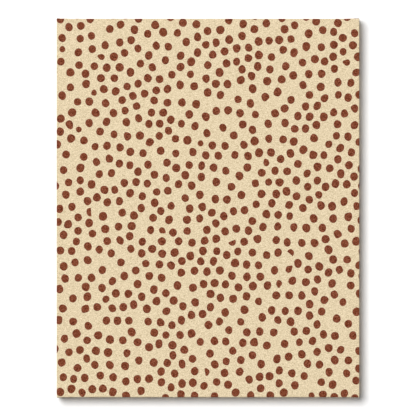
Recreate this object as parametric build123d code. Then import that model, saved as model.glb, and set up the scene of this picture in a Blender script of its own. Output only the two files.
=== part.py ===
from build123d import *

import math
import os

# A stretched canvas: a printed sheet, drawn over a keyed pine stretcher frame and stapled to its back.
# X runs to the right as the picture is looked at, the picture faces -Y, and Z is up.
# The origin is under the middle of the lower edge, halfway between the picture and the rearmost point.

# Driving dimensions, in millimetres
PANEL_WIDTH = 406.4  # 16 in, over the canvas
PANEL_HEIGHT = 508.0  # 20 in, over the canvas
PANEL_DEPTH = 38.1  # 1.5 in, from the picture to the back of the bars
CANVAS_THICKNESS = 0.5
FLAP_WIDTH = 20.0  # of canvas turned on to the back
FOLD_LAYERS = 3  # of canvas at each folded corner of the back

BAR_WIDTH = 38.0
BEAD_WIDTH = 6.0  # the only front surface that the canvas rests on
BEAD_STEP = 1.5
FACE_SLOPE = 4.5  # how far the front has fallen back at the inner edge
EDGE_ROUND = 0.8
EDGE_EASE = 1.0
TONGUE_THICKNESS = 5.0
SAW_OVERRUN = 2.0  # of the end cuts past the bar's faces

SLOT_FLOOR = 8.0  # wood left between a key slot and the bar's outer edge
SLOT_TIP = 4.0
SLOT_MOUTH = 11.0
KEY_LENGTH = 34.0
KEY_TIP_DEPTH = 12.0  # from the bar's outer edge to the key's tip
KEY_CLEARANCE = 0.1
KEY_THICKNESS = 4.0
KEY_EASE = 0.4

STAPLE_CROWN = 10.6
STAPLE_WIRE_WIDTH = 1.3
STAPLE_WIRE_THICKNESS = 0.9
STAPLE_LEG = 8.0
STAPLE_BEND = 0.5
STAPLE_INSET = 10.0  # from the panel's outer edge
CORNER_STAPLE_INSETS = (16.5, 8.5)  # from the panel's side, and from its upper or lower edge
STAPLES_PER_RAIL = 6
STAPLES_PER_STILE = 8

STRAP_WIDTH = 9.5
STRAP_SHEET = 0.8
STRAP_TAPER = 4.5  # below the hinge, where the two layers of sheet have met
SCREW_DROP = 17.5  # from the hinge to the screw
STRAP_EDGE_EASE = 0.25
STRAP_INSET = 29.0  # from the panel's outer edge to the strap's middle
HINGE_DROP = 130.0  # from the panel's upper edge to the rings' hinges
HOLE_RADIUS = 2.0

RING_WIRE_RADIUS = 1.0
RING_CLEARANCE = 0.05
RING_HALF_WIDTH = 7.2
RING_CORNER_RADIUS = 2.0
RING_REACH = 12.5  # from the hinge to the far side of the wire's centre line
RING_REST_ANGLE = 4.5  # of the hanging ring off the strap

SCREW_HEAD_RADIUS = 3.4
SCREW_HEAD_HEIGHT = 1.9
SCREW_HEAD_ROUND = 1.2
SCREW_SHANK_RADIUS = 1.75
SCREW_PILOT_RADIUS = 1.2
SCREW_LENGTH = 13.0
SCREW_POINT = 3.0
RECESS_DEPTH = 1.2
RECESS_LENGTH = 3.6
RECESS_WIDTH = 0.9

# Sizes worked out from these
WOOD_WIDTH = PANEL_WIDTH - 2 * CANVAS_THICKNESS
WOOD_HEIGHT = PANEL_HEIGHT - 2 * CANVAS_THICKNESS
WOOD_DEPTH = PANEL_DEPTH - CANVAS_THICKNESS
CHEEK = WOOD_DEPTH / 2 - TONGUE_THICKNESS  # each mitred layer, in front of and behind the tongues
KEY_TAPER = (SLOT_MOUTH - SLOT_TIP) / (BAR_WIDTH - SLOT_FLOOR)
STRAP_THICKNESS = 2 * STRAP_SHEET
BORE_RADIUS = RING_WIRE_RADIUS + RING_CLEARANCE
BARREL_RADIUS = BORE_RADIUS + STRAP_SHEET
RING_LIFT = RING_REACH * math.sin(math.radians(RING_REST_ANGLE))  # of the hanging wire off the hinge
REARMOST = BARREL_RADIUS + RING_LIFT + RING_WIRE_RADIUS  # behind the bars
FRONT_Y = -(PANEL_DEPTH + REARMOST) / 2
WOOD_Y = FRONT_Y + CANVAS_THICKNESS
BACK_Y = FRONT_Y + PANEL_DEPTH
HINGE_Z = PANEL_HEIGHT - HINGE_DROP
STRAP_X = PANEL_WIDTH / 2 - STRAP_INSET

# Each bar is the top rail turned about Y: its angle, its length, how far its outer edge lies from the
# panel's middle, and the corners at its two ends.
BARS = {
    "top_rail": (0, WOOD_WIDTH, WOOD_HEIGHT / 2, ("top_left", "top_right")),
    "right_stile": (90, WOOD_HEIGHT, WOOD_WIDTH / 2, ("top_right", "bottom_right")),
    "bottom_rail": (180, WOOD_WIDTH, WOOD_HEIGHT / 2, ("bottom_right", "bottom_left")),
    "left_stile": (270, WOOD_HEIGHT, WOOD_WIDTH / 2, ("bottom_left", "top_left")),
}


def prism(points, low_y, high_y):
    """A prism along Y over a polygon of (x, z) points."""
    face = make_face(Polyline(*points, close=True))
    return extrude(Plane.XZ.offset(-high_y) * face, amount=high_y - low_y)


def seated(angle, reach, shape):
    """A shape of the top rail, put on to the bar at this angle."""
    return Pos(0, WOOD_Y, PANEL_HEIGHT / 2) * Rot(0, angle, 0) * Pos(0, 0, reach) * shape


# Stretcher bars: made along X, the outer edge on z = 0 and the front on y = 0
def moulding(length):
    """The planed bar before its ends are cut."""
    outline = Polyline(
        (0, 0),
        (0, -BEAD_WIDTH),
        (BEAD_STEP, -BEAD_WIDTH - BEAD_STEP),
        (FACE_SLOPE, -BAR_WIDTH),
        (WOOD_DEPTH, -BAR_WIDTH),
        (WOOD_DEPTH, 0),
        close=True,
    )
    section = make_face(outline)
    section = fillet(section.vertices().sort_by_distance((0, 0))[0], EDGE_ROUND)
    for corner in ((FACE_SLOPE, -BAR_WIDTH), (WOOD_DEPTH, -BAR_WIDTH), (WOOD_DEPTH, 0)):
        section = fillet(section.vertices().sort_by_distance(corner)[0], EDGE_EASE)
    return extrude(Plane.YZ * section, amount=length / 2, both=True)


def end_waste(length, side):
    """What is sawn off one end: both cheeks' mitres, and the layer that the next bar's tongue fills.

    That layer's cut goes on past the tongue as the tapering slot for the key. Points are measured
    from the bar's outer corner."""
    past_inner = -BAR_WIDTH - SAW_OVERRUN
    mitre = [(past_inner, past_inner), (SAW_OVERRUN, SAW_OVERRUN), (SAW_OVERRUN, past_inner)]
    seat = [
        (SAW_OVERRUN, SAW_OVERRUN),
        (-BAR_WIDTH, SAW_OVERRUN),
        (-BAR_WIDTH, -SLOT_FLOOR),
        (-BAR_WIDTH - SLOT_TIP, -SLOT_FLOOR),
        (-BAR_WIDTH - SLOT_MOUTH, -BAR_WIDTH),
        (-BAR_WIDTH - SLOT_MOUTH, past_inner),
        (SAW_OVERRUN, past_inner),
    ]
    layer = CHEEK + (TONGUE_THICKNESS if side > 0 else 0)
    cuts = [
        (mitre, -SAW_OVERRUN, CHEEK),
        (seat, layer, layer + TONGUE_THICKNESS),
        (mitre, WOOD_DEPTH - CHEEK, WOOD_DEPTH + SAW_OVERRUN),
    ]
    return [prism([(side * (length / 2 + x), z) for x, z in points], low, high) for points, low, high in cuts]


def bar(length):
    wood = moulding(length)
    for side in (-1, 1):
        for waste in end_waste(length, side):
            wood -= waste
    return wood


# Corner keys: wedges that lie along the next bar's inner edge, tip outwards
def key(length, side):
    tip = SLOT_TIP + (KEY_TIP_DEPTH - SLOT_FLOOR) * KEY_TAPER - 2 * KEY_CLEARANCE
    butt = tip + KEY_LENGTH * KEY_TAPER
    straight = length / 2 - BAR_WIDTH - KEY_CLEARANCE
    outline = [
        (straight, -KEY_TIP_DEPTH),
        (straight, -KEY_TIP_DEPTH - KEY_LENGTH),
        (straight - butt, -KEY_TIP_DEPTH - KEY_LENGTH),
        (straight - tip, -KEY_TIP_DEPTH),
    ]
    middle = WOOD_DEPTH / 2 + side * TONGUE_THICKNESS / 2
    wedge = prism([(side * x, z) for x, z in outline], middle - KEY_THICKNESS / 2, middle + KEY_THICKNESS / 2)
    return chamfer(wedge.edges(), KEY_EASE)


# Canvas: a closed sheet over the front and the four sides, with its flaps on the back
def wrapped_block(width, height, depth, round_radius):
    """A block on the panel's middle, its front edges rounded, its front at y = 0."""
    block = Pos(0, depth / 2, PANEL_HEIGHT / 2) * Box(width, depth, height)
    front = block.faces().sort_by(Axis.Y)[0]
    return fillet(front.edges(), round_radius)


def canvas():
    outside = wrapped_block(
        PANEL_WIDTH, PANEL_HEIGHT, PANEL_DEPTH + CANVAS_THICKNESS, EDGE_ROUND + CANVAS_THICKNESS
    )
    inside = wrapped_block(WOOD_WIDTH, WOOD_HEIGHT, WOOD_DEPTH, EDGE_ROUND)
    window = Box(PANEL_WIDTH - 2 * FLAP_WIDTH, PANEL_DEPTH, PANEL_HEIGHT - 2 * FLAP_WIDTH)
    sheet = Pos(0, FRONT_Y, 0) * outside - Pos(0, WOOD_Y, 0) * inside
    sheet -= Pos(0, BACK_Y, PANEL_HEIGHT / 2) * window
    thickness = FOLD_LAYERS * CANVAS_THICKNESS
    for x in (-1, 1):
        for z in (-1, 1):
            middle_x = x * (PANEL_WIDTH - FLAP_WIDTH) / 2
            middle_z = (PANEL_HEIGHT + z * (PANEL_HEIGHT - FLAP_WIDTH)) / 2
            sheet += Pos(middle_x, BACK_Y + thickness / 2, middle_z) * Box(FLAP_WIDTH, thickness, FLAP_WIDTH)
    return sheet


# Staples: the crown lies on the canvas and the legs go through it into the bar
def staple():
    leg_x = (STAPLE_CROWN - STAPLE_WIRE_THICKNESS) / 2
    length = STAPLE_LEG + STAPLE_WIRE_THICKNESS
    wire = Pos(0, STAPLE_WIRE_THICKNESS / 2, 0) * Box(STAPLE_CROWN, STAPLE_WIRE_THICKNESS, STAPLE_WIRE_WIDTH)
    for x in (-leg_x, leg_x):
        leg = Box(STAPLE_WIRE_THICKNESS, length, STAPLE_WIRE_WIDTH)
        wire += Pos(x, STAPLE_WIRE_THICKNESS - length / 2, 0) * leg
    bends = wire.edges().filter_by(Axis.Z).group_by(Axis.Y)[-1]
    return fillet(bends, STAPLE_BEND)


def spaced(count, span):
    """Evenly spaced places, half a pitch in from each end."""
    return [span * ((place + 0.5) / count - 0.5) for place in range(count)]


def staples():
    one = staple()
    row_y = WOOD_DEPTH + CANVAS_THICKNESS
    fold_y = BACK_Y + FOLD_LAYERS * CANVAS_THICKNESS
    inset = STAPLE_INSET - CANVAS_THICKNESS
    group = []
    for name, (angle, length, reach, _) in BARS.items():
        count = STAPLES_PER_RAIL if name.endswith("rail") else STAPLES_PER_STILE
        for x in spaced(count, length - 2 * BAR_WIDTH):
            group.append(seated(angle, reach, Pos(x, row_y, -inset) * one))
    for x in (-1, 1):
        for z in (-1, 1):
            middle_x = x * (PANEL_WIDTH / 2 - CORNER_STAPLE_INSETS[0])
            middle_z = PANEL_HEIGHT / 2 + z * (PANEL_HEIGHT / 2 - CORNER_STAPLE_INSETS[1])
            group.append(Pos(middle_x, fold_y, middle_z) * Rot(0, -x * z * 45, 0) * one)
    return Compound(children=group)


# Hangers: made about the ring's hinge, at x = 0 and z = 0, with the bar's back on y = 0
def strap():
    """Sheet folded round the ring's straight side and back on itself, with one screw hole."""
    barrel = Pos(BARREL_RADIUS, 0) * Circle(BARREL_RADIUS)
    neck = Pos(STRAP_THICKNESS / 2, -STRAP_TAPER) * Rectangle(STRAP_THICKNESS, STRAP_SHEET)
    wrapped = make_hull([*barrel.edges(), *neck.edges()])
    tail = SCREW_DROP + STRAP_WIDTH / 2
    flat = Rectangle(STRAP_THICKNESS, tail - STRAP_TAPER)
    plate = Pos(STRAP_THICKNESS / 2, -(STRAP_TAPER + tail) / 2) * flat
    section = wrapped + plate - Pos(BARREL_RADIUS, 0) * Circle(BORE_RADIUS)
    body = extrude(Plane.YZ * section, amount=STRAP_WIDTH / 2, both=True)
    end_corners = body.edges().filter_by(Axis.Y).group_by(Axis.Z)[0]
    body = fillet(end_corners, STRAP_WIDTH / 2 - STRAP_EDGE_EASE)
    outer_rim = body.faces().filter_by(Axis.Y).sort_by(Axis.Y)[-1].edges().group_by(Axis.Z)[:-1]
    body = fillet([edge for group in outer_rim for edge in group], STRAP_EDGE_EASE)
    return body - Pos(0, 0, -SCREW_DROP) * Rot(90, 0, 0) * Cylinder(HOLE_RADIUS, 4 * STRAP_THICKNESS)


def ring():
    """A D of round wire, its straight side on the hinge, lying up the XZ plane."""
    side_x = RING_HALF_WIDTH
    flat_x = RING_HALF_WIDTH - RING_CORNER_RADIUS
    crown_z = RING_REACH - RING_HALF_WIDTH
    corner = RING_CORNER_RADIUS
    path = Wire(
        [
            Line((-flat_x, 0, 0), (flat_x, 0, 0)),
            TangentArc((flat_x, 0, 0), (side_x, 0, corner), tangent=(1, 0, 0)),
            Line((side_x, 0, corner), (side_x, 0, crown_z)),
            ThreePointArc((side_x, 0, crown_z), (0, 0, RING_REACH), (-side_x, 0, crown_z)),
            Line((-side_x, 0, crown_z), (-side_x, 0, corner)),
            TangentArc((-side_x, 0, corner), (-flat_x, 0, 0), tangent=(0, 0, -1)),
        ]
    )
    return sweep(Plane.YZ * Circle(RING_WIRE_RADIUS), path=path)


def screw():
    """A pan head screw, its head's seat on y = 0 and its point towards -Y."""
    head = Cylinder(SCREW_HEAD_RADIUS, SCREW_HEAD_HEIGHT, align=(Align.CENTER, Align.CENTER, Align.MIN))
    head = fillet(head.edges().sort_by(Axis.Z)[-1], SCREW_HEAD_ROUND)
    recess_z = SCREW_HEAD_HEIGHT - RECESS_DEPTH / 2
    for turn in (0, 90):
        head -= Pos(0, 0, recess_z) * Rot(0, 0, turn) * Box(RECESS_LENGTH, RECESS_WIDTH, RECESS_DEPTH)
    shank_length = SCREW_LENGTH - SCREW_POINT
    shank = Pos(0, 0, -shank_length / 2) * Cylinder(SCREW_SHANK_RADIUS, shank_length)
    point = Cone(RECESS_WIDTH / 4, SCREW_SHANK_RADIUS, SCREW_POINT)
    body = head + shank + Pos(0, 0, -shank_length - SCREW_POINT / 2) * point
    return Rot(-90, 0, 0) * body


def at_hangers(shape, z=0.0, y=0.0):
    """The shape on each stile's back, left one first."""
    return [Pos(side * STRAP_X, BACK_Y + y, HINGE_Z + z) * shape for side in (-1, 1)]


os.makedirs("parts", exist_ok=True)
nodes = {}

for name, (angle, length, reach, corners) in BARS.items():
    nodes[name] = seated(angle, reach, bar(length))
    for side, corner in zip((-1, 1), corners):
        nodes[f"key_{corner}_{name.split('_')[1]}"] = seated(angle, reach, key(length, side))

pilot = Rot(90, 0, 0) * Cylinder(SCREW_PILOT_RADIUS, 2 * (SCREW_LENGTH - STRAP_THICKNESS))
for name, hole in zip(("left_stile", "right_stile"), at_hangers(pilot, z=-SCREW_DROP)):
    nodes[name] -= hole

hanging_ring = Rot(180 + RING_REST_ANGLE, 0, 0) * ring()
straps = at_hangers(strap())
rings = at_hangers(hanging_ring, y=BARREL_RADIUS)
for side, strap_solid, ring_solid in zip(("left", "right"), straps, rings):
    nodes[f"hanger_strap_{side}"] = strap_solid
    nodes[f"hanger_ring_{side}"] = ring_solid
nodes["hanger_screws"] = Compound(children=at_hangers(screw(), z=-SCREW_DROP, y=STRAP_THICKNESS))

nodes["canvas"] = canvas()
nodes["staples"] = staples()

for name, shape in nodes.items():
    export_step(shape, f"parts/{name}.step")
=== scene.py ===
import math

import bmesh
import bpy
import numpy as np
from mathutils import Matrix, Vector, noise


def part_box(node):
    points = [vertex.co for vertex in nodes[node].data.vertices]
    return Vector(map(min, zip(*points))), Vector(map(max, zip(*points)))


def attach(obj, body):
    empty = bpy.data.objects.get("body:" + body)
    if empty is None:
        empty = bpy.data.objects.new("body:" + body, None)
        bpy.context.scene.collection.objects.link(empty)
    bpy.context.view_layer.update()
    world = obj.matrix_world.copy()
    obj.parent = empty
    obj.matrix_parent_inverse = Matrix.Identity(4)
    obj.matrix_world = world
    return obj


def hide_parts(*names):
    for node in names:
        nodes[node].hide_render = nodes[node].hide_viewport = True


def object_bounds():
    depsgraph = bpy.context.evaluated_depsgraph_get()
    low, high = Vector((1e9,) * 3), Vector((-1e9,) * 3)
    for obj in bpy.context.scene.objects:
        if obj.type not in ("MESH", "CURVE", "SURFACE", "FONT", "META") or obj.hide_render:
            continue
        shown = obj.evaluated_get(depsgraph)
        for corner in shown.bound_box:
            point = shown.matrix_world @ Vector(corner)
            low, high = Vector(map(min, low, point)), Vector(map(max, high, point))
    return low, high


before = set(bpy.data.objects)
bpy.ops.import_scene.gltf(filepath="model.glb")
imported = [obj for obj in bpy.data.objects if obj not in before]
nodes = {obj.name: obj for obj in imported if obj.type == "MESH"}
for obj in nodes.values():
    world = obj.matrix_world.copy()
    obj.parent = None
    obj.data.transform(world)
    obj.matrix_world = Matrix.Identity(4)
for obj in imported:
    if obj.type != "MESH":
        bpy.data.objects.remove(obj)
cad_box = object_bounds()

# Stretcher bars: four lengths of planed pine, mitred and tongued into each other without glue.
# The grain runs along each bar, so the growth rings show as lines on its faces and as arcs on its
# ends. Every bar is sawn from another place in the log.
EARLY_WOOD = (0.71, 0.545, 0.35, 1)
SUMMER_WOOD = (0.44, 0.25, 0.115, 1)
KNOT_WOOD = (0.13, 0.055, 0.022, 1)
FIBRE_SHADE = (0.80, 0.74, 0.66)  # of red, green and blue, in the darkest fibres
BRIGHTEST_FIBRE = 1.03
RING_SPACING = 0.0026
RING_SHAPE = (0.30, 0.93, 0.99)  # where in a year the summer wood starts, is darkest, and has ended
RING_STRENGTH = (0.45, 0.95)  # faint and clear rings
RING_WANDER = 0.022  # how far the rings stray from true circles
RING_UNEVENNESS = 0.005  # wide and narrow years
LOG_TAPER = (0.045, 1, 1)  # the rings of a log close in slowly along it
WANDER = (1.7, 14, 14)  # waves to the metre, along and across the grain, as in the next three
GROWTH = (0.6, 95, 95)
FIBRES = (26, 900, 900)
BROAD_TONE = (4, 26, 26)
PINE_ROUGHNESS = (0.72, 0.55)
PINE_RELIEF = 0.00012
SUMMER_RELIEF = 0.35  # of the summer wood, as a share of the fibres' own
PITH = {  # of the log, from the bar's middle: along the grain, towards the back, and across
    "top_rail": (0.10, 0.062, -0.050),
    "bottom_rail": (-0.20, -0.090, 0.004),
    "left_stile": (0.15, 0.105, 0.010),
    "right_stile": (-0.12, -0.058, 0.047),
}
KNOT_STRETCH = (1, 0.35, 1)  # a knot is longest from front to back
KNOT_EDGE = (0.0045, 0.0062)
KNOT_HALO = (0.005, 0.014)
KNOT_RING = 0.0011
KNOT_DARKNESS = 0.92
HALO_DARKNESS = 0.35
BENT_RINGS = (0.004, 0.022)  # where the growth rings bend round a knot
RINGS_PUSHED = 0.006
KNOTS = {  # from the bar's middle, in the same directions
    "top_rail": (-0.118, 0.0, 0.002),
    "bottom_rail": (0.064, 0.0, -0.006),
    "left_stile": (0.066, 0.0, -0.004),
    "right_stile": (-0.133, 0.0, 0.003),
}
MITRE_SHADOW = 0.0005  # half the width of the dark line at a joint
MITRE_DARKNESS = 0.7
ALONG_X = (0, 0, 0)
ALONG_Z = (0, math.radians(90), 0)


def put(tree, kind, inputs=None, **settings):
    """Adds a node. An input is a number, a colour, or the output that feeds it."""
    made = tree.nodes.new(kind)
    for name, value in settings.items():
        setattr(made, name, value)
    for name, value in (inputs or {}).items():
        if isinstance(value, bpy.types.NodeSocket):
            tree.links.new(value, made.inputs[name])
        else:
            made.inputs[name].default_value = value
    return made


def sum_up(tree, operation, first, second=0.0, third=0.0):
    return put(tree, "ShaderNodeMath", {0: first, 1: second, 2: third}, operation=operation).outputs[0]


def combine(tree, operation, *vectors):
    return put(tree, "ShaderNodeVectorMath", dict(enumerate(vectors)), operation=operation).outputs[0]


def length_of(tree, vector):
    return put(tree, "ShaderNodeVectorMath", {0: vector}, operation="LENGTH").outputs["Value"]


def stretched(tree, coordinates, scale, turn=(0, 0, 0), shift=(0, 0, 0)):
    inputs = {"Vector": coordinates, "Scale": scale, "Rotation": turn, "Location": shift}
    return put(tree, "ShaderNodeMapping", inputs).outputs[0]


def grain(tree, coordinates, scale, detail=2.0, roughness=0.5):
    inputs = {"Vector": coordinates, "Scale": scale, "Detail": detail, "Roughness": roughness}
    return put(tree, "ShaderNodeTexNoise", inputs).outputs["Fac"]


def span(tree, value, low, high, to_low=0.0, to_high=1.0):
    inputs = {"Value": value, "From Min": low, "From Max": high, "To Min": to_low, "To Max": to_high}
    return put(tree, "ShaderNodeMapRange", inputs).outputs[0]


def blend_colours(tree, share, first, second, how="MIX"):
    made = put(tree, "ShaderNodeMix", data_type="RGBA", blend_type=how)
    for place, value in ((0, share), (6, first), (7, second)):
        if isinstance(value, bpy.types.NodeSocket):
            tree.links.new(value, made.inputs[place])
        else:
            made.inputs[place].default_value = value
    return made.outputs[2]


def shade_by(tree, colour, value, low, high, darkest, lightest):
    """Darkens a colour where a value is low. Its red, green and blue each have a darkest share."""
    shade = put(tree, "ShaderNodeCombineColor")
    for band, depth in zip(("Red", "Green", "Blue"), darkest):
        tree.links.new(span(tree, value, low, high, depth, lightest), shade.inputs[band])
    return blend_colours(tree, 1.0, colour, shade.outputs[0], how="MULTIPLY")


def finish_of(name):
    """A new material: its tree and its shader."""
    material = bpy.data.materials.new(name)
    material.use_nodes = True
    return material, material.node_tree, material.node_tree.nodes["Principled BSDF"]


def raised(tree, shader, height, distance, strength=1.0):
    inputs = {"Height": height, "Distance": distance, "Strength": strength}
    tree.links.new(put(tree, "ShaderNodeBump", inputs).outputs[0], shader.inputs["Normal"])


def from_mitre(tree, place):
    """How far a point lies from the nearest mitre, in the panel's plane."""
    low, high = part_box("left_stile")[0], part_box("right_stile")[1]
    from_middle = combine(tree, "ABSOLUTE", combine(tree, "SUBTRACT", place, (low + high) / 2))
    inwards = combine(tree, "SUBTRACT", (high - low) / 2, from_middle)
    parts = put(tree, "ShaderNodeSeparateXYZ", {0: inwards}).outputs
    return sum_up(tree, "ABSOLUTE", sum_up(tree, "SUBTRACT", parts["X"], parts["Z"]))


def pine(name, middle, turn, pith, knot):
    """Pine sawn from its place in a log: growth rings round the pith, fibres, and one knot."""
    material, tree, shader = finish_of(name)
    place = put(tree, "ShaderNodeTexCoord").outputs["Object"]
    own = stretched(tree, combine(tree, "SUBTRACT", place, middle), (1, 1, 1), turn=turn)
    log = combine(tree, "ADD", own, pith)
    away = combine(tree, "MULTIPLY", combine(tree, "SUBTRACT", own, knot), KNOT_STRETCH)
    off_knot = length_of(tree, away)

    radius = length_of(tree, combine(tree, "MULTIPLY", log, LOG_TAPER))
    wander = grain(tree, stretched(tree, log, WANDER), 1.0, detail=2.0)
    radius = sum_up(tree, "MULTIPLY_ADD", wander, RING_WANDER, radius)
    radius = sum_up(tree, "ADD", radius, span(tree, off_knot, *BENT_RINGS, RINGS_PUSHED, 0.0))
    growth = grain(tree, stretched(tree, log, GROWTH), 1.0, detail=1.0)
    radius = sum_up(tree, "MULTIPLY_ADD", growth, RING_UNEVENNESS, radius)
    ring = sum_up(tree, "FRACT", sum_up(tree, "DIVIDE", radius, RING_SPACING))
    late = put(tree, "ShaderNodeValToRGB", {"Fac": ring})
    ramp = late.color_ramp
    ramp.interpolation = "EASE"
    ramp.elements[0].position = RING_SHAPE[0]
    ramp.elements[0].color = (0, 0, 0, 1)
    ramp.elements[1].position = RING_SHAPE[1]
    ramp.elements[1].color = (1, 1, 1, 1)
    ramp.elements.new(RING_SHAPE[2]).color = (0, 0, 0, 1)

    fibres = grain(tree, stretched(tree, log, FIBRES), 1.0, detail=4.0, roughness=0.65)
    broad = grain(tree, stretched(tree, log, BROAD_TONE), 1.0, detail=2.0)
    share = sum_up(tree, "MULTIPLY", late.outputs[0], span(tree, broad, 0.3, 0.7, *RING_STRENGTH))
    colour = blend_colours(tree, share, EARLY_WOOD, SUMMER_WOOD)
    colour = shade_by(tree, colour, fibres, 0.30, 0.62, FIBRE_SHADE, BRIGHTEST_FIBRE)
    halo = span(tree, off_knot, *KNOT_HALO, HALO_DARKNESS, 0.0)
    colour = blend_colours(tree, halo, colour, SUMMER_WOOD)
    knot_ring = sum_up(tree, "FRACT", sum_up(tree, "DIVIDE", off_knot, KNOT_RING))
    knot_colour = blend_colours(tree, knot_ring, KNOT_WOOD, SUMMER_WOOD)
    knot_share = span(tree, off_knot, *KNOT_EDGE, KNOT_DARKNESS, 0.0)
    colour = blend_colours(tree, knot_share, colour, knot_colour)
    joint = span(tree, from_mitre(tree, place), 0.0, MITRE_SHADOW, MITRE_DARKNESS, 0.0)
    tree.links.new(blend_colours(tree, joint, colour, KNOT_WOOD), shader.inputs["Base Color"])
    tree.links.new(span(tree, fibres, 0.2, 0.8, *PINE_ROUGHNESS), shader.inputs["Roughness"])
    height = sum_up(tree, "MULTIPLY_ADD", late.outputs[0], SUMMER_RELIEF, fibres)
    raised(tree, shader, height, PINE_RELIEF)
    return material


def coat(node_name, material):
    for slot in nodes[node_name].material_slots:
        slot.material = material


for bar, pith in PITH.items():
    low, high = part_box(bar)
    turn = ALONG_X if bar.endswith("rail") else ALONG_Z
    coat(bar, pine(f"pine_{bar}", (low + high) / 2, turn, pith, KNOTS[bar]))

# Corner keys: thin wedges of beech, two to a corner, pushed into the slots between the bars. Tapped
# further in, they spread the corner and draw the canvas tight. Beech is close and pinkish, with short
# dark flecks along the grain.
BEECH = (0.60, 0.385, 0.235, 1)
BEECH_FLECK = (0.33, 0.175, 0.095, 1)
FLECKS = (420, 2600, 2600)  # waves to the metre, along and across the grain, as in the next two
BEECH_FIBRES = (40, 1100, 1100)
BEECH_BANDS = (9, 160, 160)
BAND_SHADE = (0.84, 0.78, 0.72)
BRIGHTEST_BAND = 1.05
BEECH_ROUGHNESS = (0.62, 0.48)
BEECH_RELIEF = 0.00008


def beech(name, turn):
    material, tree, shader = finish_of(name)
    wood = stretched(tree, put(tree, "ShaderNodeTexCoord").outputs["Object"], (1, 1, 1), turn=turn)
    flecks = grain(tree, stretched(tree, wood, FLECKS), 1.0, detail=1.0)
    fibres = grain(tree, stretched(tree, wood, BEECH_FIBRES), 1.0, detail=3.0)
    bands = grain(tree, stretched(tree, wood, BEECH_BANDS), 1.0)
    colour = blend_colours(tree, span(tree, flecks, 0.60, 0.68), BEECH, BEECH_FLECK)
    colour = shade_by(tree, colour, bands, 0.3, 0.7, BAND_SHADE, BRIGHTEST_BAND)
    tree.links.new(colour, shader.inputs["Base Color"])
    tree.links.new(span(tree, fibres, 0.3, 0.7, *BEECH_ROUGHNESS), shader.inputs["Roughness"])
    raised(tree, shader, fibres, BEECH_RELIEF)
    return material


key_wood = {"rail": beech("beech_upright", ALONG_Z), "stile": beech("beech_level", ALONG_X)}
for name in nodes:
    if name.startswith("key_"):
        coat(name, key_wood[name.rsplit("_", 1)[1]])

# Canvas: one sheet of cotton, printed with hand-painted spots on a straw ground. It is drawn over the
# front and the four sides, folded at the corners and stapled to the back of the bars. The print ends
# a little way on to the back, and the rest of the flap is bare white coating.
outer_low, outer_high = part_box("canvas")
rail_low, rail_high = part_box("top_rail")
stile_low, stile_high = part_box("right_stile")
CLOTH = 0.00045
SLIP = 0.00005  # air between two layers that touch
HALF_WIDTH = outer_high.x
HALF_HEIGHT = (outer_high.z - outer_low.z) / 2
MIDDLE_Z = (outer_high.z + outer_low.z) / 2
DEPTH = rail_high.y + CLOTH + SLIP - outer_low.y  # from the picture to the outside of a flap
FRONT_BEND = 0.0013
BACK_BEND = 0.0012
FLAP = 0.020
PRINTED_FLAP = 0.0085
GUSSET = 0.024  # of folded cloth kept beside each corner
HEM = 0.008  # turned under the mitred end of a flap
FOLD_RAISE = 0.0010  # of the outer layer over the cloth folded beneath it
RAISE_RUN = 0.0014  # in which it rises to that, from the front corner on
FOLD_END = 0.004  # half of the run in which it sinks again past the cloth beneath
FOLD_STEPS = 4
SLIT = 4 * SLIP  # half of the narrow slit between the side's fold and the mitre's
SPARE_CLOTH = 0.012  # round the cut line, trimmed off
ON_THE_LINE = 1e-7
SIDE_STAPLES = {"rail": 6, "stile": 8}
LEAST_SLACK = 0.0002  # of a flap's free edge, midway between two staples
MORE_SLACK = 0.0006  # here and there
SLACK_WAVES = 23  # to the metre

front_run = FRONT_BEND * math.pi / 2
back_start = front_run + DEPTH - FRONT_BEND - BACK_BEND
back_end = back_start + BACK_BEND * math.pi / 2
cut_run = back_end + FLAP - BACK_BEND
mitre_start = (back_start + back_end) / 2
flat_x = HALF_WIDTH - FRONT_BEND
flat_z = HALF_HEIGHT - FRONT_BEND
hem_radius = (FOLD_RAISE - SLIP) / 2
hem_bend = math.pi * hem_radius
rail_inner = rail_low.z - MIDDLE_Z  # from the panel's middle to the rails' inner edges
stile_inner = stile_low.x

SPOT_RADIUS = 0.00546
SPOT_POINTS = 20
SPOTS_PER_AREA = 3340
SPOT_ROOM = (0.0116, 0.0162)  # least and most room that a spot is given, middle to middle
SPOT_REACH = 0.019  # within which two spots are nudged apart
SPOT_NUDGE = 0.08
NUDGES = 2
LEAST_GAP = 0.475  # the share of its room that a spot fills at the most
SPOT_SIZES = (0.036, 0.86, 1.12)  # spread, smallest and largest
SPOT_TALLNESS = (0.095, 0.055)  # mean and spread
SPOT_LEAN = 0.30
SPOT_WOBBLE = (0.022, 0.016, 0.010)  # in three, four and five waves round its rim
SPOILT_SPOTS = 0.022
SPOILT_CUT = 0.25  # from its middle to the flat side, as a share of its radius
SPOILT_POINT = (0.80, 0.42, 10)  # its size, the point's length, and how narrow the point is
SPOILT_SMALL = 0.72
rng = np.random.default_rng(20)


def apart(spots):
    """The way from every spot to every other, and how far it is."""
    between = spots[:, None] - spots[None]
    distance = np.hypot(between[..., 0], between[..., 1])
    np.fill_diagonal(distance, 1)
    return between, distance


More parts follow.
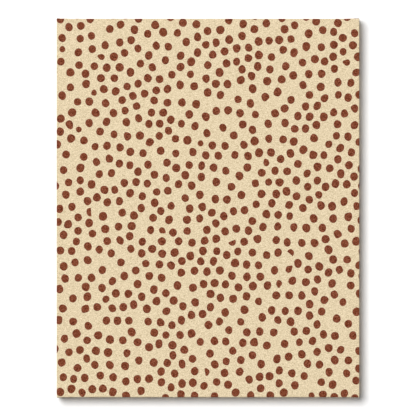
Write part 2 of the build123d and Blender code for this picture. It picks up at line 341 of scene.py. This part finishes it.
def spot_places(half_width, half_height):
    """A loose, even scatter: each spot is set down where it has room, and then they are nudged apart."""
    count = int(SPOTS_PER_AREA * 4 * half_width * half_height)
    corner = np.array((half_width, half_height))
    spots = np.empty((count, 2))
    rooms = np.empty(count)
    set_down = 0
    while set_down < count:
        spots[set_down] = rng.uniform(-corner, corner)
        rooms[set_down] = rng.uniform(*SPOT_ROOM)
        gaps = np.hypot(*(spots[:set_down] - spots[set_down]).T)
        if (2 * gaps >= rooms[:set_down] + rooms[set_down]).all():
            set_down += 1
    for _ in range(NUDGES):
        between, distance = apart(spots)
        nudges = SPOT_NUDGE * np.clip(SPOT_REACH - distance, 0, None) / distance
        spots = np.clip(spots + (between * nudges[..., None]).sum(1), -corner, corner)
    return spots, apart(spots)[1].min(1)


def paint_spot(sheet, place, room):
    """A brush spot: a round, a little taller than wide and never quite even. A few are spoilt."""
    made = bmesh.ops.create_circle(sheet, cap_ends=True, segments=SPOT_POINTS, radius=1)
    swell = rng.normal(0, SPOT_WOBBLE)
    phases = rng.uniform(0, math.tau, 3)
    tall = math.exp(rng.normal(*SPOT_TALLNESS))
    spread, smallest, largest = SPOT_SIZES
    size = SPOT_RADIUS * np.clip(rng.normal(1, spread), smallest, largest)
    heading = rng.uniform(0, math.tau)
    spoilt = rng.uniform() < SPOILT_SPOTS
    fault = rng.choice(("cut", "pointed", "small"))
    way = Vector((math.cos(heading), math.sin(heading), 0))
    body, point, narrow = SPOILT_POINT
    for vertex in made["verts"]:
        angle = math.atan2(vertex.co.y, vertex.co.x)
        waves = ((k + 3) * angle + phase for k, phase in enumerate(phases))
        vertex.co *= 1 + sum(height * math.cos(wave) for height, wave in zip(swell, waves))
        if spoilt and fault == "cut":
            vertex.co -= max(vertex.co.dot(way) - SPOILT_CUT, 0) * way
        if spoilt and fault == "pointed":
            vertex.co *= body + point * max(math.cos(angle - heading), 0) ** narrow
        if spoilt and fault == "small":
            vertex.co *= SPOILT_SMALL
    shape = Matrix.Rotation(rng.normal(0, SPOT_LEAN), 4, "Z")
    shape = shape @ Matrix.Diagonal((tall ** -0.5, tall ** 0.5, 1, 1))
    widest = max((shape @ vertex.co).length for vertex in made["verts"])
    size = min(size, LEAST_GAP * room / widest)
    matrix = Matrix.Translation((*place, 0)) @ Matrix.Scale(size, 4) @ shape
    bmesh.ops.transform(sheet, matrix=matrix, verts=made["verts"])


def runs(point):
    """How far a point of the flat sheet lies past the front's flat part, to the side and up or down."""
    return abs(point.x) - flat_x, abs(point.y) - flat_z


def ease(share):
    share = min(max(share, 0.0), 1.0)
    return share * share * (3 - 2 * share)


def raise_at(across, up):
    """How far the outer layer stands off over the cloth that is folded beneath it at a corner."""
    past = up - front_run
    from_edge = max(front_run - across, 0.0)
    width = min(past, GUSSET)
    return FOLD_RAISE * ease(past / RAISE_RUN) * ease((width + FOLD_END - from_edge) / (2 * FOLD_END))


def past_fold(across, up):
    """How far past its fold line a point of an upper or lower strip lies, and the way across the line.

    The line follows the corner's edge, and turns in at 45 degrees for the mitre on the back."""
    if up < mitre_start:
        return across - front_run, (1.0, 0.0)
    return (across - front_run + up - mitre_start) * math.sqrt(0.5), (math.sqrt(0.5), math.sqrt(0.5))


def fold_under(across, up):
    """The run of a point once its strip's end is folded under, and how far it then stands off."""
    beyond, (way_x, way_z) = past_fold(across, up)
    if beyond <= 0:
        return across, up, raise_at(across, up)
    lift = raise_at(across - beyond * way_x, up - beyond * way_z)
    radius = max((lift - SLIP) / 2, SLIP / 2)
    if beyond < math.pi * radius:
        sideways = radius * math.sin(beyond / radius)
        drop = radius * (1 - math.cos(beyond / radius))
    else:
        sideways = math.pi * radius - beyond
        drop = 2 * radius
    shift = sideways - beyond
    return across + shift * way_x, up + shift * way_z, lift - drop


def over_edge(run, lift):
    """How far out and how deep a point lies, run past the front's flat part and lift off the surface."""
    if run <= 0:
        return run, -lift
    if run < front_run:
        angle = run / FRONT_BEND
        outer = FRONT_BEND + lift
        return outer * math.sin(angle), FRONT_BEND - outer * math.cos(angle)
    if run < back_start:
        return FRONT_BEND + lift, FRONT_BEND + run - front_run
    if run < back_end:
        angle = (run - back_start) / BACK_BEND
        outer = BACK_BEND + lift
        out = FRONT_BEND - BACK_BEND + outer * math.cos(angle)
        return out, DEPTH - BACK_BEND + outer * math.sin(angle)
    return FRONT_BEND - BACK_BEND - (run - back_end), DEPTH + lift


def along_edge(run, reach):
    """How far out a strip's end lies: it closes in on its corner edge at reach."""
    if run <= 0:
        return run
    if run < front_run:
        return reach * math.sin(run / FRONT_BEND)
    return reach + run - front_run


def slack(run, along, length, count, seed):
    """The flap's free edge stands off a little between its staples."""
    share = ease((run - back_end) / (cut_run - back_end))
    pitch = length / count
    between = 0.5 - 0.5 * math.cos(math.tau * (along / pitch + count / 2 - 0.5))
    inside = ease((length / 2 - abs(along)) / pitch)
    height = LEAST_SLACK + MORE_SLACK * abs(noise.noise(Vector((along * SLACK_WAVES, seed, 0))))
    return share * between * inside * height


def wrap(point):
    """Takes a point of the flat sheet to its place on the frame."""
    across, up = runs(point)
    left_right = math.copysign(1, point.x)
    up_down = math.copysign(1, point.y)
    if across >= up:
        loose = slack(across, point.y, 2 * rail_inner, SIDE_STAPLES["stile"], left_right)
        out, depth = over_edge(across, loose)
        height = along_edge(min(up, front_run), FRONT_BEND)
        if up > front_run:
            out -= up - front_run
            height -= SLIP / 2
    else:
        across, up, lift = fold_under(across, up)
        reach = FRONT_BEND - (hem_radius + 2 * SLIP) * ease((up - front_run) / RAISE_RUN)
        loose = slack(up, point.x, 2 * stile_inner, SIDE_STAPLES["rail"], 5 * up_down)
        out = along_edge(across, reach)
        height, depth = over_edge(up, lift + loose)
    return left_right * (flat_x + out), outer_low.y + depth, MIDDLE_Z + up_down * (flat_z + height)


def is_kept(across, up):
    """Whether this part of the flat sheet is left on when the corners have been trimmed."""
    if across >= up:
        tab = across < back_start and up < front_run + GUSSET
        return tab or up < front_run * (FOLD_STEPS - 1) / FOLD_STEPS
    beyond, way = past_fold(across, up)
    if beyond <= 0:
        return True
    if abs(up - mitre_start) < SLIT:
        return False
    if up < mitre_start:
        return beyond < GUSSET and raise_at(front_run, up) > 0.99 * FOLD_RAISE
    folded_up = fold_under(across, up)[1]
    return beyond < hem_bend or (beyond < hem_bend + HEM and folded_up > back_end + 10 * SLIP)


def crease(sheet, faces, point, way, **trim):
    """Cuts a line into these faces, for the sheet to bend on."""
    geometry = set(faces)
    for face in faces:
        geometry.update(face.edges)
        geometry.update(face.verts)
    bmesh.ops.bisect_plane(sheet, geom=list(geometry), plane_co=point, plane_no=way, dist=ON_THE_LINE, **trim)


def crease_all_round(sheet, run, **trim):
    for side in (-1, 1):
        crease(sheet, sheet.faces[:], (side * (flat_x + run), 0, 0), (side, 0, 0), **trim)
        crease(sheet, sheet.faces[:], (0, side * (flat_z + run), 0), (0, side, 0), **trim)


def crease_corner(sheet, left_right, up_down):
    """The gusset's diagonal, the fold along the corner's edge, and the mitre's fold."""
    corner = (left_right * flat_x, up_down * flat_z, 0)

    def near(face):
        middle = face.calc_center_median()
        across, up = runs(middle)
        same = middle.x * left_right > 0 and middle.y * up_down > 0
        return same and up > 0 and across > -FLAP - HEM

    gusset = [f for f in sheet.faces if near(f) and runs(f.calc_center_median())[0] > 0]
    crease(sheet, gusset, corner, (left_right, -up_down, 0))
    for step in range(FOLD_STEPS + 1):
        beyond = hem_bend * step / FOLD_STEPS
        strip = [f for f in sheet.faces if near(f) and runs(f.calc_center_median())[1] > front_run]
        edge = (left_right * (flat_x + front_run + beyond), 0, 0)
        crease(sheet, strip, edge, (left_right, 0, 0))
        flap = [f for f in strip if f.is_valid and runs(f.calc_center_median())[1] > back_start]
        start = Vector((left_right * (flat_x + front_run), up_down * (flat_z + mitre_start), 0))
        way = Vector((left_right, up_down, 0)).normalized()
        crease(sheet, flap, start + way * beyond, way)
        rise = (0, up_down * (flat_z + front_run + RAISE_RUN * step / FOLD_STEPS), 0)
        crease(sheet, [f for f in sheet.faces if near(f)], rise, (0, 1, 0))
    for side in (-1, 1):
        end = (0, up_down * (flat_z + mitre_start + side * SLIT), 0)
        crease(sheet, [f for f in sheet.faces if near(f)], end, (0, 1, 0))


def printed_sheet():
    """The canvas lying flat, its spots cut into it, and then wrapped round the frame."""
    sheet = bmesh.new()
    half_x = flat_x + cut_run + SPARE_CLOTH
    half_z = flat_z + cut_run + SPARE_CLOTH
    for place, room in zip(*spot_places(half_x, half_z)):
        paint_spot(sheet, place, room)
    for face in sheet.faces:
        face.material_index = 1
    outlines = sheet.edges[:]
    rim = bmesh.ops.create_grid(sheet, x_segments=1, y_segments=1, size=1)["verts"]
    bmesh.ops.scale(sheet, vec=(half_x + SPARE_CLOTH, half_z + SPARE_CLOTH, 1), verts=rim)
    rim_edges = list({edge for vertex in rim for edge in vertex.link_edges})
    bmesh.ops.delete(sheet, geom=rim[0].link_faces[:], context="FACES_ONLY")
    bmesh.ops.triangle_fill(sheet, use_beauty=True, edges=outlines + rim_edges)
    bmesh.ops.reverse_faces(sheet, faces=[face for face in sheet.faces if face.normal.z < 0])

    crease_all_round(sheet, cut_run, clear_outer=True)
    for step in range(FOLD_STEPS + 1):
        crease_all_round(sheet, front_run * step / FOLD_STEPS)
        crease_all_round(sheet, back_start + (back_end - back_start) * step / FOLD_STEPS)
    crease_all_round(sheet, back_end + PRINTED_FLAP)
    for left_right in (-1, 1):
        for up_down in (-1, 1):
            crease_corner(sheet, left_right, up_down)

    trimmed = [face for face in sheet.faces if not is_kept(*runs(face.calc_center_median()))]
    bmesh.ops.delete(sheet, geom=trimmed, context="FACES")
    flat_area = sum(face.calc_area() for face in sheet.faces)

    cloth_map = sheet.loops.layers.uv.new("Cloth")
    for face in sheet.faces:
        if max(runs(face.calc_center_median())) > back_end + PRINTED_FLAP:
            face.material_index = 2
        for loop in face.loops:
            loop[cloth_map].uv = loop.vert.co.xy
    for vertex in sheet.verts:
        vertex.co = wrap(vertex.co)
    mesh = bpy.data.meshes.new("printed_canvas")
    sheet.to_mesh(mesh)
    sheet.free()
    return mesh, flat_area


GROUND_INK = (0.700, 0.574, 0.378, 1)
SPOT_INK = (0.186, 0.0465, 0.0164, 1)
BARE_COATING = (0.83, 0.82, 0.79, 1)
RAW_COTTON = (0.80, 0.755, 0.65, 1)
THREAD = 0.00062  # from one thread to the next
THREAD_DRIFT = 0.0012  # how far a thread wanders from its line
DRIFT_WAVES = 38.0  # to the metre, as in the next three
WEFT_SLUBS = (190, 1300, 1)
WARP_SLUBS = (1300, 300, 1)
SPECKS = 820.0
WEFT_SHARE, WARP_SHARE, SPECK_SHARE, DAB_SHARE = 0.9, 0.7, 1.3, 1.2  # of the uneven tone
# THREAD_SHADOW: where on each thread the painted shade of the valleys between threads starts and ends
THREAD_SHADOW = (0.15, 0.75)  # how high on a thread its shaded side starts and ends
THREAD_SWING = 0.4  # how much a thread rises and sinks as it passes over and under
SLUB_HEIGHT = 0.5
UNEVEN_SHINE = 0.06
CANVAS_SPECULAR = 0.12


def woven(name, colour, shade, roughness, thread_depth, mottle, frost):
    """Plain-woven cotton: threads over and under, slubs, colour that lies unevenly on them, and painted shade
    darkening the valleys between the threads.
    """
    material, tree, shader = finish_of(name)
    cloth = put(tree, "ShaderNodeUVMap", uv_map="Cloth").outputs[0]
    drift_inputs = {"Vector": cloth, "Scale": DRIFT_WAVES, "Detail": 2.0}
    drift = put(tree, "ShaderNodeTexNoise", drift_inputs).outputs["Color"]
    drift = combine(tree, "SUBTRACT", drift, (0.5, 0.5, 0.5))
    laid = combine(tree, "ADD", cloth, combine(tree, "MULTIPLY", drift, (THREAD_DRIFT,) * 3))
    parts = put(tree, "ShaderNodeSeparateXYZ", {0: laid}).outputs
    waves = [sum_up(tree, "SINE", sum_up(tree, "MULTIPLY", parts[k], math.pi / THREAD)) for k in (0, 1)]
    over = sum_up(tree, "MULTIPLY", *waves)
    rises = [sum_up(tree, "MULTIPLY_ADD", over, way * THREAD_SWING, 1 - THREAD_SWING) for way in (1, -1)]
    warp = sum_up(tree, "MULTIPLY", sum_up(tree, "ABSOLUTE", waves[0]), rises[0])
    weft = sum_up(tree, "MULTIPLY", sum_up(tree, "ABSOLUTE", waves[1]), rises[1])
    threads = sum_up(tree, "MAXIMUM", warp, weft)

    weft_slubs = grain(tree, stretched(tree, cloth, WEFT_SLUBS), 1.0, detail=2.0)
    warp_slubs = grain(tree, stretched(tree, cloth, WARP_SLUBS), 1.0, detail=2.0)
    specks = grain(tree, cloth, SPECKS, detail=2.0, roughness=0.7)
    crossing = combine(tree, "SNAP", laid, (THREAD, THREAD, 1))
    dabs = put(tree, "ShaderNodeTexWhiteNoise", {"Vector": crossing}, noise_dimensions="2D").outputs["Value"]
    tone = 1.0
    for uneven, low, high, share in (
        (weft_slubs, 0.25, 0.75, WEFT_SHARE),
        (warp_slubs, 0.25, 0.75, WARP_SHARE),
        (specks, 0.25, 0.75, SPECK_SHARE),
        (dabs, 0, 1, DAB_SHARE),
    ):
        tone = sum_up(tree, "MULTIPLY_ADD", span(tree, uneven, low, high, -1, 1), share * mottle, tone)
    # Painted shade: the colour is darkened in the valleys between the threads, where shadow falls on real
    # cloth.
    painted_valley_shade = blend_colours(tree, span(tree, threads, *THREAD_SHADOW, 1, 0), colour, shade)
    pale = sum_up(tree, "MULTIPLY", sum_up(tree, "SUBTRACT", tone, 1.0), frost)
    tree.links.new(combine(tree, "MULTIPLY_ADD", painted_valley_shade, tone, pale), shader.inputs["Base Color"])
    dull = span(tree, specks, 0.2, 0.8, roughness - UNEVEN_SHINE, roughness + UNEVEN_SHINE)
    tree.links.new(dull, shader.inputs["Roughness"])
    shader.inputs["Specular IOR Level"].default_value = CANVAS_SPECULAR
    raised(tree, shader, sum_up(tree, "MULTIPLY_ADD", weft_slubs, SLUB_HEIGHT, threads), thread_depth)
    return material


def darker(colour, share):
    return (*(part * share for part in colour[:3]), 1)


# name, colour, share of it left in the valleys under the painted shade, roughness, depth of the threads,
# unevenness, paleness
PRINTED = (
    ("ground_print", GROUND_INK, 0.86, 0.82, 0.00010, 0.111, 0.44),
    ("spot_print", SPOT_INK, 0.80, 0.78, 0.00010, 0.38, 0.055),
    ("bare_coating", BARE_COATING, 0.90, 0.85, 0.00010, 0.06, 0.0),
)
RAW = ("raw_cotton", RAW_COTTON, 0.66, 0.92, 0.00022, 0.10, 0.0)

canvas_mesh, canvas_area = printed_sheet()
canvas = bpy.data.objects.new("printed_canvas", canvas_mesh)
bpy.context.scene.collection.objects.link(canvas)
# Each material's painted valley shade is a darker copy of its colour.
for name, colour, painted_valley_share, *look in PRINTED:
    canvas_mesh.materials.append(woven(name, colour, darker(colour, painted_valley_share), *look))
name, colour, painted_valley_share, *look = RAW
raw_cotton = woven(name, colour, darker(colour, painted_valley_share), *look)
for _ in PRINTED:
    canvas_mesh.materials.append(raw_cotton)
thickness = canvas.modifiers.new("thickness", "SOLIDIFY")
thickness.thickness = CLOTH
thickness.offset = -1
thickness.material_offset = len(PRINTED)

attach(canvas, "frame")
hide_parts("canvas")

# Staples and hangers: galvanised wire staples hold the canvas, and each stile has a strap hanger of
# folded plated sheet, with a D-ring of plated wire in its fold and one pan-head screw. Plating is
# bright, with a fine cloudiness and rubbed marks where the wire and the driver touch it.
ZINC = (0.62, 0.625, 0.63, 1)
NICKEL = (0.70, 0.68, 0.64, 1)
STAPLE_ZINC = (0.50, 0.51, 0.53, 1)
CLOUD_SHADE = 0.78
CLOUDINESS = 0.6
RUBS = (350, 4200, 900)  # waves to the metre, along and across the rubbed marks
RUB_TURN = (0.2, 0.5, 0.3)
CLOUD_DULLNESS = 0.10
RUB_DULLNESS = 0.14
RUB_DEPTH = 0.00002


def plated(name, colour, roughness, cloud_size):
    material, tree, shader = finish_of(name)
    place = put(tree, "ShaderNodeTexCoord").outputs["Object"]
    clouds = grain(tree, place, 1 / cloud_size, detail=3.0)
    rubs = grain(tree, stretched(tree, place, RUBS, turn=RUB_TURN), 1.0, detail=2.0)
    cloudy = span(tree, clouds, 0.35, 0.65, 0, CLOUDINESS)
    shaded = blend_colours(tree, cloudy, colour, darker(colour, CLOUD_SHADE))
    tree.links.new(shaded, shader.inputs["Base Color"])
    dull = span(tree, clouds, 0.3, 0.7, roughness, roughness + CLOUD_DULLNESS)
    wear = sum_up(tree, "MULTIPLY_ADD", span(tree, rubs, 0.5, 0.7, 0, 1), RUB_DULLNESS, dull)
    tree.links.new(wear, shader.inputs["Roughness"])
    shader.inputs["Metallic"].default_value = 1.0
    raised(tree, shader, rubs, RUB_DEPTH)
    return material


strap_zinc = plated("strap_zinc", ZINC, 0.30, 0.0022)
ring_nickel = plated("ring_nickel", NICKEL, 0.20, 0.0040)
for side in ("left", "right"):
    coat(f"hanger_strap_{side}", strap_zinc)
    coat(f"hanger_ring_{side}", ring_nickel)
coat("hanger_screws", plated("screw_zinc", ZINC, 0.24, 0.0015))
coat("staples", plated("staple_zinc", STAPLE_ZINC, 0.34, 0.0030))

# Wall, floor and lights: a white wall that the panel's hangers touch and a pale floor below, both
# clear from their far sides, one round soft light in front, up and to the left, and weak light from
# all round and behind.
WALL_PAINT = (0.88, 0.88, 0.88, 1)
FLOOR_PAINT = (0.80, 0.80, 0.80, 1)
WALL_SIZE = 3.0
FLOOR_SIZE = 8.0
FLOOR_LEVEL = -1.2
LIGHT_DISTANCE = 12.0
LIGHT_RADIUS = 2.40
LIGHT_SHIFT = 2.36  # to the left and upwards
KEY_POWER = 1795.0
BACK_POWER = 190.0
BACK_RADIUS = 1.25
BACK_PLACE = (-2.5, 3.5, 2.5)  # from the panel's middle
SKY_STRENGTH = 0.14
BACKDROP = 0.80  # how bright the room behind the object looks


def surface(name, size, matrix):
    plane = bmesh.new()
    bmesh.ops.create_grid(plane, x_segments=2, y_segments=2, size=size / 2, matrix=matrix)
    mesh = bpy.data.meshes.new(name)
    plane.to_mesh(mesh)
    plane.free()
    made = bpy.data.objects.new(name, mesh)
    bpy.context.scene.collection.objects.link(made)
    return made


def paint(name, colour, one_sided=False):
    material, tree, shader = finish_of(name)
    shader.inputs["Base Color"].default_value = colour
    shader.inputs["Roughness"].default_value = 1.0
    shader.inputs["Specular IOR Level"].default_value = 0.0
    if one_sided:
        back = put(tree, "ShaderNodeNewGeometry").outputs["Backfacing"]
        clear = put(tree, "ShaderNodeBsdfTransparent").outputs[0]
        mix = put(tree, "ShaderNodeMixShader", {0: back, 1: shader.outputs[0], 2: clear})
        tree.links.new(mix.outputs[0], tree.nodes["Material Output"].inputs[0])
    return material


rearmost = cad_box[1][1]
facing_front = Matrix.Translation((0, rearmost, MIDDLE_Z)) @ Matrix.Rotation(math.radians(90), 4, "X")
wall = surface("wall", WALL_SIZE, facing_front)
wall.data.materials.append(paint("wall_paint", WALL_PAINT, one_sided=True))
wall.visible_shadow = False
floor = surface("floor", FLOOR_SIZE, Matrix.Translation((0, 0, FLOOR_LEVEL)))
floor.data.materials.append(paint("floor_paint", FLOOR_PAINT, one_sided=True))
floor.visible_diffuse = False


def round_light(name, power, radius, place, target):
    lamp = bpy.data.lights.new(name, "AREA")
    lamp.shape = "DISK"
    lamp.size = 2 * radius
    lamp.energy = power
    made = bpy.data.objects.new(name, lamp)
    made.location = place
    made.rotation_euler = (Vector(target) - Vector(place)).to_track_quat("-Z", "Y").to_euler()
    made.visible_camera = False
    bpy.context.scene.collection.objects.link(made)


centre = Vector((0, outer_low.y, MIDDLE_Z))
key_place = centre + Vector((-LIGHT_SHIFT, -LIGHT_DISTANCE, LIGHT_SHIFT))
round_light("key_light", KEY_POWER, LIGHT_RADIUS, key_place, centre)
round_light("back_light", BACK_POWER, BACK_RADIUS, centre + Vector(BACK_PLACE), centre)

studio = bpy.data.worlds.new("studio")
studio.use_nodes = True
seen = put(studio.node_tree, "ShaderNodeLightPath").outputs["Is Camera Ray"]
sky = studio.node_tree.nodes["Background"]
sky.inputs["Color"].default_value = (1, 1, 1, 1)
strength = span(studio.node_tree, seen, 0, 1, SKY_STRENGTH, BACKDROP)
studio.node_tree.links.new(strength, sky.inputs["Strength"])
bpy.context.scene.world = studio
bpy.context.scene.view_settings.view_transform = "Standard"

# Camera: square on to the picture and level with its middle, through a long lens from far off, so
# that the panel's sides stay out of sight.
VIEW_WIDTH = 0.5583  # of the picture's plane
LENS = 400.0
SENSOR = 36.0
camera_data = bpy.data.cameras.new("camera")
camera_data.lens = LENS
camera_data.sensor_width = SENSOR
camera_data.clip_end = 100.0
camera = bpy.data.objects.new("camera", camera_data)
camera.location = centre - Vector((0, VIEW_WIDTH * LENS / SENSOR, 0))
camera.rotation_euler = (math.radians(90), 0, 0)
bpy.context.scene.collection.objects.link(camera)
bpy.context.scene.camera = camera
